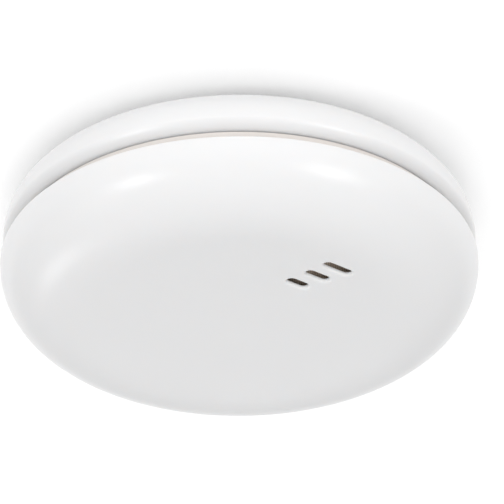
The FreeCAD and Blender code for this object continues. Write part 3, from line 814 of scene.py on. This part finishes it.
# ---- Upper ring and back wall -------------------------------------------------------------
def ring_outline(ring):
    """Closed section of the ring, from its top edge over the bulge to the back wall."""
    bulge = (ring.bulge_radius, ring.lip_level + ring.roll)
    upper = quarter(bulge, (ring.top_radius, ring.top_level), 2.15, 26)
    roll = quarter(bulge, (ring.lip_radius, ring.lip_level), 1.5, 12)
    flange_low = (ring.flange_radius, ring.lip_level)
    flange_high = (ring.flange_radius, ring.lip_level + ring.flange_wall)
    inside = ring.bulge_radius - 2.9 * MM
    recess_top = (ring.recess_radius, ring.top_level)
    points = upper[::-1] + roll[1:]
    points += rounded((ring.lip_radius, ring.lip_level), flange_low, flange_high, 0.5 * MM)
    points += rounded(flange_low, flange_high, (inside, flange_high[1]), 0.5 * MM)
    points += [
        (inside, flange_high[1]),
        (inside, ring.wall_bottom),
        (36 * MM, ring.wall_bottom),
        (36 * MM, ring.wall_top),
        (ring.recess_radius, ring.wall_top),
    ]
    top_edge = (ring.top_radius, ring.top_level)
    points += rounded((ring.recess_radius, ring.wall_top), recess_top, top_edge, 0.4 * MM)
    return points


class DETECTOR_OT_upper_ring(bpy.types.Operator):
    """Build the upper ring with its bulging side, rolled lip and flange"""

    bl_idname = "detector.upper_ring"
    bl_label = "Upper Ring"

    def execute(self, context):
        ring = sizes("ring_sizes")
        mesh = bmesh.new()
        turn_outline(mesh, ring_outline(ring), COVER_SEGMENTS)

        def lug(part):
            sweep = math.radians(22)
            reach = PLATE_HIGH.x - 2.6 * MM
            section = [
                (reach, ring.top_level - 1.2 * MM),
                (ring.recess_radius + 0.4 * MM, ring.top_level - 1.2 * MM),
                (ring.recess_radius + 0.4 * MM, ring.top_level - 0.1 * MM),
                (reach, ring.top_level - 0.1 * MM),
            ]
            turn_outline(part, section, 14, sweep=sweep)

        join(mesh, fresh_part(lug), 3, math.radians(60 - 11))
        material = glossy_moulding("polished_ring_white", sizes("detector_colours").ring, 0.3)
        finished(mesh, "upper_ring", "head", material, ["back_housing"], 40)
        return {"FINISHED"}


def wall_with_opening(mesh, radius, low, high, hole_low, hole_high):
    """A disc with a rectangular opening, given its thickness."""
    disc = bmesh.ops.create_circle(mesh, segments=COVER_SEGMENTS, radius=radius)["verts"]
    corners = [
        mesh.verts.new((x, y, 0))
        for x, y in (
            (hole_low[0], hole_low[1]),
            (hole_high[0], hole_low[1]),
            (hole_high[0], hole_high[1]),
            (hole_low[0], hole_high[1]),
        )
    ]
    edges = edges_of(disc)
    edges += [mesh.edges.new(pair) for pair in zip(corners, corners[1:] + corners[:1])]
    bmesh.ops.triangle_fill(
        mesh, use_beauty=True, use_dissolve=False, edges=edges, normal=(0, 0, 1)
    )
    made = bmesh.ops.extrude_face_region(mesh, geom=list(mesh.faces))["geom"]
    raised = [item for item in made if isinstance(item, bmesh.types.BMVert)]
    bmesh.ops.translate(mesh, verts=raised, vec=(0, 0, high - low))
    bmesh.ops.translate(mesh, verts=mesh.verts, vec=(0, 0, low))


class DETECTOR_OT_back_wall(bpy.types.Operator):
    """Build the housing's back wall with its battery bay and screw bosses"""

    bl_idname = "detector.back_wall"
    bl_label = "Back Wall"

    def execute(self, context):
        ring = sizes("ring_sizes")
        mesh = bmesh.new()
        bay_low = (BATTERY_LOW.x - 0.4 * MM, BATTERY_LOW.y - 2.6 * MM)
        bay_high = (BATTERY_HIGH.x + 0.4 * MM, BATTERY_HIGH.y + 2.6 * MM)
        wall_with_opening(mesh, 36 * MM, ring.wall_bottom, ring.wall_top, bay_low, bay_high)

        def bay(part):
            floor = BATTERY_LOW.z - 0.3 * MM
            made = bmesh.ops.create_cube(part, size=1.0)
            middle = ((bay_low[0] + bay_high[0]) / 2, (bay_low[1] + bay_high[1]) / 2)
            size = (bay_high[0] - bay_low[0], bay_high[1] - bay_low[1], ring.wall_bottom - floor)
            bmesh.ops.scale(part, verts=made["verts"], vec=size)
            shift = (*middle, (ring.wall_bottom + floor) / 2)
            bmesh.ops.translate(part, verts=made["verts"], vec=shift)
            top = [face for face in part.faces if face.normal.z > 0.9]
            bmesh.ops.delete(part, geom=top, context="FACES_ONLY")
            bmesh.ops.solidify(part, geom=list(part.faces), thickness=-1.4 * MM)

        join(mesh, fresh_part(bay))
        for azimuth, level in SCREW_PLACES:
            turn = math.radians(azimuth)
            place = (SCREW_CIRCLE * math.cos(turn), SCREW_CIRCLE * math.sin(turn))
            add_rod(mesh, 2.4 * MM, level, ring.wall_bottom, place, 28)
        material = satin_moulding("housing_inside_white", sizes("detector_colours").ring, 0.4)
        finished(mesh, "housing_back_wall", "head", material)
        return {"FINISHED"}


# ---- Vent cage and mesh -------------------------------------------------------------------
class DETECTOR_OT_vent_cage(bpy.types.Operator):
    """Build the barred cage behind the air groove"""

    bl_idname = "detector.vent_cage"
    bl_label = "Vent Cage"

    def execute(self, context):
        ring = sizes("ring_sizes")
        cover = sizes("cover_sizes")
        collar = CAGE_HIGH.x
        outer = ring.flange_radius - 0.6 * MM
        inner = outer - 2.0 * MM
        mesh = bmesh.new()
        upper = [
            (inner, ring.lip_level), (outer, ring.lip_level),
            (outer, CAGE_HIGH.z), (inner, CAGE_HIGH.z),
        ]
        floor = CAGE_LOW.z
        lower = [
            (inner - 1.2 * MM, floor), (outer - 0.3 * MM, floor), (outer, floor + 0.3 * MM),
            (outer, cover.rim_level), (inner, cover.rim_level),
            (inner, floor + CAGE_FLOOR_WALL), (inner - 1.2 * MM, floor + CAGE_FLOOR_WALL),
        ]
        wall = 1.2 * MM
        air_slot = 0.4 * MM
        root = outer - 0.5 * MM
        collar_top = (collar, ring.lip_level - air_slot)
        collar_low = (collar, cover.rim_level - wall)
        collar_back = (collar - wall, ring.lip_level - air_slot)
        collar_foot = (collar - wall, cover.rim_level)
        band = [(root, cover.rim_level), collar_foot]
        band += rounded(collar_foot, collar_back, collar_top, 0.2 * MM)
        band += rounded(collar_back, collar_top, collar_low, 0.12 * MM)
        band += [collar_low, (root, cover.rim_level - wall)]
        turn_outline(mesh, upper, 144)
        turn_outline(mesh, lower, 144)
        turn_outline(mesh, band, COVER_SEGMENTS)

        def bar(part):
            half = outer * math.radians(2.6) / 2
            add_box(
                part, (inner + 0.1 * MM, -half, cover.rim_level - 0.2 * MM),
                (outer - 0.05 * MM, half, ring.lip_level + 0.2 * MM), 0.2 * MM,
            )

        def shelf(part):
            top = floor + CAGE_FLOOR_WALL
            half = 4.5 * MM
            add_box(part, (34.4 * MM, -half, floor), (39.9 * MM, half, top), 0.2 * MM)
            for side in (-1, 1):
                edges = sorted((side * 2.4 * MM, side * half))
                add_box(part, (39.8 * MM, edges[0], floor), (inner, edges[1], top), 0.15 * MM)

        join(mesh, fresh_part(bar), ring.vent_bars, TURN / ring.vent_bars / 2)
        join(mesh, fresh_part(shelf), STATIONS, STATION_AZIMUTH)
        for azimuth, level in SCREW_PLACES:

            def ear(part, level=level):
                for side in (-1, 1):
                    edges = sorted((side * 2.5 * MM, side * 3.4 * MM))
                    low = (35.6 * MM, edges[0], level)
                    add_box(part, low, (inner + 0.5 * MM, edges[1], CAGE_HIGH.z))

            join(mesh, fresh_part(ear), 1, math.radians(azimuth))
        # Painted light: the cage colour carries a warm tint that stands for bounce light in the
        # groove.
        material = satin_moulding("cage_moulding", sizes("detector_colours").cage, 0.45)
        finished(mesh, "vent_cage_bars", "head", material, ["vent_cage"])
        return {"FINISHED"}


class DETECTOR_OT_insect_mesh(bpy.types.Operator):
    """Build the fine wire screen inside the cage"""

    bl_idname = "detector.insect_mesh"
    bl_label = "Insect Mesh"

    def execute(self, context):
        ring = sizes("ring_sizes")
        mesh = bmesh.new()
        middle = MESH_HIGH.x - 0.15 * MM
        low = MESH_LOW.z
        high = MESH_HIGH.z
        hoops = 9
        for index in range(hoops):
            level = low + (high - low) * (index + 0.5) / hoops
            half = 0.10 * MM if 0 < index < hoops - 1 else 0.35 * MM
            section = [
                (middle - 0.08 * MM, level - half), (middle + 0.08 * MM, level - half),
                (middle + 0.08 * MM, level + half), (middle - 0.08 * MM, level + half),
            ]
            turn_outline(mesh, section, 120)

        def wire(part):
            add_rod(part, 0.13 * MM, low, high, (middle, 0), 6)

        join(mesh, fresh_part(wire), ring.mesh_wires)
        material = drawn_metal("blackened_mesh_steel", (0.10, 0.085, 0.075), (1, 1, 4), 0.45)
        finished(mesh, "insect_mesh_wires", "head", material, ["insect_mesh"])
        return {"FINISHED"}


# ---- Mounting plate -----------------------------------------------------------------------
class DETECTOR_OT_mounting_plate(bpy.types.Operator):
    """Build the bayonet plate that is screwed to the ceiling"""

    bl_idname = "detector.mounting_plate"
    bl_label = "Mounting Plate"

    def execute(self, context):
        mesh = bmesh.new()
        radius = 34.2 * MM
        wall = 1.6 * MM
        low = PLATE_LOW.z
        slot_x = 25.0 * MM
        slot_width = 4.5 * MM
        slot_length = 7.0 * MM
        disc = bmesh.ops.create_circle(mesh, segments=144, radius=radius - 2.3 * MM)["verts"]
        edges = edges_of(disc)
        for side in (-1, 1):
            circle = bmesh.ops.create_circle(mesh, segments=SLOT_SEGMENTS, radius=slot_width / 2)
            made = circle["verts"]
            half_step = Matrix.Rotation(TURN / SLOT_SEGMENTS / 2, 3, "Z")
            bmesh.ops.rotate(mesh, verts=made, cent=(0, 0, 0), matrix=half_step)
            for vert in made:
                vert.co.x += math.copysign((slot_length - slot_width) / 2, vert.co.x)
            bmesh.ops.translate(mesh, verts=made, vec=(side * slot_x, 0, 0))
            edges += edges_of(made)
        bmesh.ops.triangle_fill(
            mesh, use_beauty=True, use_dissolve=False, edges=edges, normal=(0, 0, 1)
        )
        grown = bmesh.ops.extrude_face_region(mesh, geom=list(mesh.faces))["geom"]
        sunk = [item for item in grown if isinstance(item, bmesh.types.BMVert)]
        bmesh.ops.translate(mesh, verts=sunk, vec=(0, 0, -wall))

        def rim(part):
            top = (radius, 0.0)
            section = [(radius - 2.3 * MM, 0.0)]
            section += rounded((radius - 2.2 * MM, 0), top, (radius, low), 0.35 * MM)
            section += rounded(top, (radius, low), (radius - 2.2 * MM, low), 0.3 * MM)
            section += [(radius - 2.2 * MM, low), (radius - 2.3 * MM, -wall)]
            turn_outline(part, section, 144)

        def ledge(part):
            section = [
                (radius - 0.4 * MM, low), (PLATE_HIGH.x, low),
                (PLATE_HIGH.x, low + 1.5 * MM), (radius - 0.4 * MM, low + 1.5 * MM),
            ]
            turn_outline(part, section, 16, sweep=math.radians(24))

        def stop(part):
            section = [
                (radius - 0.4 * MM, low), (PLATE_HIGH.x, low),
                (PLATE_HIGH.x, -wall + 0.2 * MM), (radius - 0.4 * MM, -wall + 0.2 * MM),
            ]
            turn_outline(part, section, 4, sweep=math.radians(3))

        def rib(part):
            half = 0.6 * MM
            low_end = (6 * MM, -half, -wall - 0.9 * MM)
            add_box(part, low_end, (radius - 2 * MM, half, -wall + 0.1 * MM), 0.2 * MM)

        join(mesh, fresh_part(rim))
        join(mesh, fresh_part(ledge), 3, math.radians(60 - 12))
        join(mesh, fresh_part(stop), 3, math.radians(60 + 12))
        # The ribs stay clear of the sprung pin over the whole turn of the head.
        join(mesh, fresh_part(rib), 6, math.radians(20))
        material = satin_moulding("plate_moulding", sizes("detector_colours").plate, 0.42)
        stands_for = ["mounting_plate"]
        finished(mesh, "mounting_plate_disc", "plate", material, stands_for)
        return {"FINISHED"}


# ---- Pieces whose engineering shape stays -------------------------------------------------
def dress(nodes, material):
    """Gives a finish to model nodes that keep their own shape."""
    for name in nodes:
        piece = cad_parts[name]
        piece.data.materials.clear()
        piece.data.materials.append(material)


def compress(name):
    """Gives a coil spring a mesh of its own; its shape stays as modelled."""
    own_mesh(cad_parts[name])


class DETECTOR_OT_electronics(bpy.types.Operator):
    """Finish the circuit board and the parts soldered to it"""

    bl_idname = "detector.electronics"
    bl_label = "Electronics"

    def execute(self, context):
        colours = sizes("detector_colours")
        dress(["circuit_board"], solder_mask("board_solder_mask", colours.board))
        dress(["radio_module"], solder_mask("radio_solder_mask", colours.module))
        dress(["main_chip", "sounder_driver_chip"], chip_epoxy("chip_epoxy"))
        tinned = drawn_metal("tinned_sheet", (0.62, 0.61, 0.58), (1, 10, 1))
        dress(["radio_shield", "crystal"], tinned)
        dress(["boost_inductor"], dark_moulding("sintered_ferrite", (0.05, 0.05, 0.055)))
        dress(["capacitors"], resin("capacitor_sleeve", (0.02, 0.02, 0.024)))
        dress(["chip_resistors"], fired_ceramic("resistor_film", (0.03, 0.03, 0.03)))
        wire = drawn_metal("tinned_wire", (0.66, 0.62, 0.54))
        dress(["antenna", "thermistor_leads"], wire)
        dress(["thermistor_beads"], resin("thermistor_dip", (0.16, 0.05, 0.02)))
        dress(["status_led"], resin("diffused_resin", (0.78, 0.78, 0.66), 0.35))
        dress(["light_guide"], clear_moulding("clear_guide"))
        switch = dark_moulding("switch_moulding", (0.03, 0.03, 0.03))
        dress(["test_switch_body", "tamper_switch_body"], switch)
        dress(["test_switch_plunger"], resin("plunger_moulding", (0.60, 0.14, 0.03), 0.35))
        dress(["tamper_plunger"], dark_moulding("tamper_moulding", (0.06, 0.06, 0.065)))
        return {"FINISHED"}


class DETECTOR_OT_sounder(bpy.types.Operator):
    """Finish the sounder's horn, discs, pins and dust screen"""

    bl_idname = "detector.sounder"
    bl_label = "Sounder"

    def execute(self, context):
        dress(["sounder_horn"], dark_moulding("horn_moulding", (0.05, 0.045, 0.04)))
        dress(["piezo_disc"], spun_disc("rolled_brass", (0.72, 0.52, 0.22), 1.0, 0.25))
        dress(["piezo_ceramic"], spun_disc("silvered_ceramic", (0.72, 0.71, 0.68), 0.5, 0.35))
        dress(["sounder_pins"], drawn_metal("nickel_pin", (0.68, 0.66, 0.62)))
        dress(["sounder_screen"], dust_cloth("woven_dust_cloth", sizes("detector_colours").screen))
        return {"FINISHED"}


class DETECTOR_OT_metalwork(bpy.types.Operator):
    """Finish the springs, screws and battery contacts"""

    bl_idname = "detector.metalwork"
    bl_label = "Metalwork"

    def execute(self, context):
        dress(["cover_springs", "tamper_spring"], drawn_metal("spring_wire", (0.50, 0.50, 0.50)))
        compress("cover_springs")
        compress("tamper_spring")
        dress(["housing_screws"], drawn_metal("zinc_plated", (0.55, 0.56, 0.58), (6, 6, 1), 0.35))
        contacts = drawn_metal("nickel_contact", (0.68, 0.66, 0.62), (1, 1, 8), 0.25)
        dress(["battery_contact_plus", "battery_contact_minus"], contacts)
        return {"FINISHED"}


class DETECTOR_OT_battery(bpy.types.Operator):
    """Build the cylindrical cell with its rolled ends and plus nub"""

    bl_idname = "detector.battery"
    bl_label = "Battery"

    def execute(self, context):
        colours = sizes("detector_colours")
        radius = (BATTERY_HIGH.x - BATTERY_LOW.x) / 2
        low = BATTERY_LOW.y
        high = BATTERY_HIGH.y
        shoulder = high - 0.9 * MM
        points = [(0, low), (radius - 1.6 * MM, low), (radius - 1.5 * MM, low + 0.15 * MM)]
        points += rounded((radius - 1.5 * MM, low), (radius, low), (radius, high), 0.6 * MM)
        groove = shoulder - 2.4 * MM
        points += [
            (radius, groove - 0.6 * MM), (radius - 0.35 * MM, groove), (radius, groove + 0.6 * MM),
        ]
        points += rounded((radius, low), (radius, shoulder), (0, shoulder), 0.7 * MM)
        sunk = shoulder - 0.3 * MM
        points += [(5.2 * MM, shoulder), (5.1 * MM, sunk), (3.6 * MM, sunk)]
        points += rounded((3.2 * MM, shoulder), (3.2 * MM, high), (0, high), 0.3 * MM)
        points.append((0, high))
        mesh = bmesh.new()
        turn_outline(mesh, points, 72, closed=False)
        along_y = Matrix.Rotation(-TURN / 4, 3, "X")
        bmesh.ops.rotate(mesh, verts=mesh.verts, cent=(0, 0, 0), matrix=along_y)
        centre = (BATTERY_LOW + BATTERY_HIGH) / 2
        bmesh.ops.translate(mesh, verts=mesh.verts, vec=(centre.x, 0, centre.z))
        material = cell_sleeve("battery_sleeve", colours.cell, colours.cell_band)
        finished(mesh, "battery_cell", "head", material, ["battery"])
        return {"FINISHED"}


# ---- Stage --------------------------------------------------------------------------------
VIEW_TILT = math.radians(31.8)
VIEW_ROLL = math.radians(-0.28)
VIEW_RADII = 28.0
LENS_PER_RADIUS = 17.07
AIM_SHARE = 12.7 / 239.06


def one_sided_white():
    """White paper that is clear from behind, so that the back of the object can be seen."""
    glow = {"Emission_Color": (1, 1, 1, 1), "Emission_Strength": 0.09}
    finish = Finish("white_paper", Roughness=0.95, **glow)
    tree = finish.tree
    fibre = finish.noise(300, 3)
    finish.paint("Base Color", finish.blend(fibre, (0.93, 0.93, 0.93, 1), (0.95, 0.95, 0.95, 1)))
    behind = Signal(finish, finish.node("ShaderNodeNewGeometry").outputs["Backfacing"])
    shadow = Signal(finish, finish.node("ShaderNodeLightPath").outputs["Is Shadow Ray"])
    clear = finish.node("ShaderNodeBsdfTransparent").outputs[0]
    inputs = {0: behind.highest(shadow), 1: finish.shader.outputs[0], 2: clear}
    mixed = finish.node("ShaderNodeMixShader", None, inputs)
    tree.links.new(mixed.outputs[0], tree.nodes["Material Output"].inputs["Surface"])
    return finish.material


def soft_light(name, place, size, power, glint=True):
    """A soft box facing the object, which may be kept out of its reflections."""
    data = bpy.data.lights.new(name, "AREA")
    data.shape = "RECTANGLE"
    data.size = size[0]
    data.size_y = size[1]
    data.energy = power
    light = bpy.data.objects.new(name, data)
    bpy.context.scene.collection.objects.link(light)
    light.location = place
    light.rotation_euler = (-Vector(place)).to_track_quat("-Z", "Y").to_euler()
    light.visible_glossy = glint


class DETECTOR_OT_stage(bpy.types.Operator):
    """Set the plain white backdrop, the soft lights and the camera"""

    bl_idname = "detector.stage"
    bl_label = "Stage"

    def execute(self, context):
        scene = context.scene
        radius = COVER_HIGH.x
        mesh = bmesh.new()
        bmesh.ops.create_grid(mesh, x_segments=1, y_segments=1, size=3.0)
        bmesh.ops.reverse_faces(mesh, faces=mesh.faces)
        bmesh.ops.translate(mesh, verts=mesh.verts, vec=(0, 0, MODEL_BOX[1][2] + 3 * MM))
        data = bpy.data.meshes.new("white_backdrop")
        mesh.to_mesh(data)
        mesh.free()
        data.materials.append(one_sided_white())
        backdrop = bpy.data.objects.new("white_backdrop", data)
        scene.collection.objects.link(backdrop)

        world = bpy.data.worlds.new("studio")
        scene.world = world
        world.use_nodes = True
        world.node_tree.nodes["Background"].inputs[0].default_value = (1, 1, 1, 1)
        world.node_tree.nodes["Background"].inputs[1].default_value = 0.72
        scene.view_settings.view_transform = "Standard"

        soft_light("front_box", (0, -1.27, -0.79), (0.8, 0.8), 8.5, glint=False)
        soft_light("low_box", (0, 0.5, -1.1), (0.8, 0.8), 2.0, glint=False)
        soft_light("left_box", (-0.85, -0.72, -0.56), (0.3, 0.3), 2.1)
        soft_light("right_box", (0.81, -0.86, -0.38), (0.4, 0.4), 2.4)
        soft_light("far_box", (-0.6, 0.75, -0.8), (0.3, 0.3), 0.8)

        sight = Vector((0, math.cos(VIEW_TILT), math.sin(VIEW_TILT)))
        across = Vector((1, 0, 0))
        upward = across.cross(sight)
        axis_point = Vector((0, 0, MODEL_BOX[1][2] - 1.2 * MM - 0.3 * radius))
        aim = axis_point + (across + upward) * AIM_SHARE * radius
        camera_data = bpy.data.cameras.new("camera")
        camera_data.lens = LENS_PER_RADIUS * VIEW_RADII
        camera_data.sensor_width = 36
        camera_data.clip_end = 100
        camera = bpy.data.objects.new("camera", camera_data)
        scene.collection.objects.link(camera)
        camera.location = aim - sight * radius * VIEW_RADII
        turned = Matrix((across, upward, -sight)).transposed() @ Matrix.Rotation(VIEW_ROLL, 3, "Z")
        camera.rotation_euler = turned.to_euler()
        scene.camera = camera
        return {"FINISHED"}


# ---- Panel, registration and run ----------------------------------------------------------
PIECES = (
    DETECTOR_OT_front_cover, DETECTOR_OT_cover_fittings, DETECTOR_OT_upper_ring,
    DETECTOR_OT_back_wall, DETECTOR_OT_vent_cage, DETECTOR_OT_insect_mesh,
    DETECTOR_OT_mounting_plate, DETECTOR_OT_battery, DETECTOR_OT_electronics,
    DETECTOR_OT_sounder, DETECTOR_OT_metalwork, DETECTOR_OT_stage,
)
GROUPS = {
    "cover_sizes": CoverSizes,
    "ring_sizes": RingSizes,
    "detector_colours": DetectorColours,
}


class DETECTOR_PT_panel(bpy.types.Panel):
    """Lists the detector's sizes, colours and pieces"""

    bl_idname = "DETECTOR_PT_panel"
    bl_label = "Heat Detector"
    bl_space_type = "VIEW_3D"
    bl_region_type = "UI"
    bl_category = "Detector"

    def draw(self, context):
        for piece in PIECES:
            self.layout.operator(piece.bl_idname)
        for name, group in GROUPS.items():
            box = self.layout.box()
            for key in group.__annotations__:
                box.prop(getattr(context.scene, name), key)


def register():
    for group in GROUPS.values():
        bpy.utils.register_class(group)
    for name, group in GROUPS.items():
        setattr(bpy.types.Scene, name, bpy.props.PointerProperty(type=group))
    for piece in PIECES:
        bpy.utils.register_class(piece)
    bpy.utils.register_class(DETECTOR_PT_panel)


def unregister():
    bpy.utils.unregister_class(DETECTOR_PT_panel)
    for piece in reversed(PIECES):
        bpy.utils.unregister_class(piece)
    for name, group in GROUPS.items():
        delattr(bpy.types.Scene, name)
        bpy.utils.unregister_class(group)


def main():
    register()
    for piece in PIECES:
        category, name = piece.bl_idname.split(".")
        getattr(getattr(bpy.ops, category), name)()


if __name__ == "__main__":
    main()
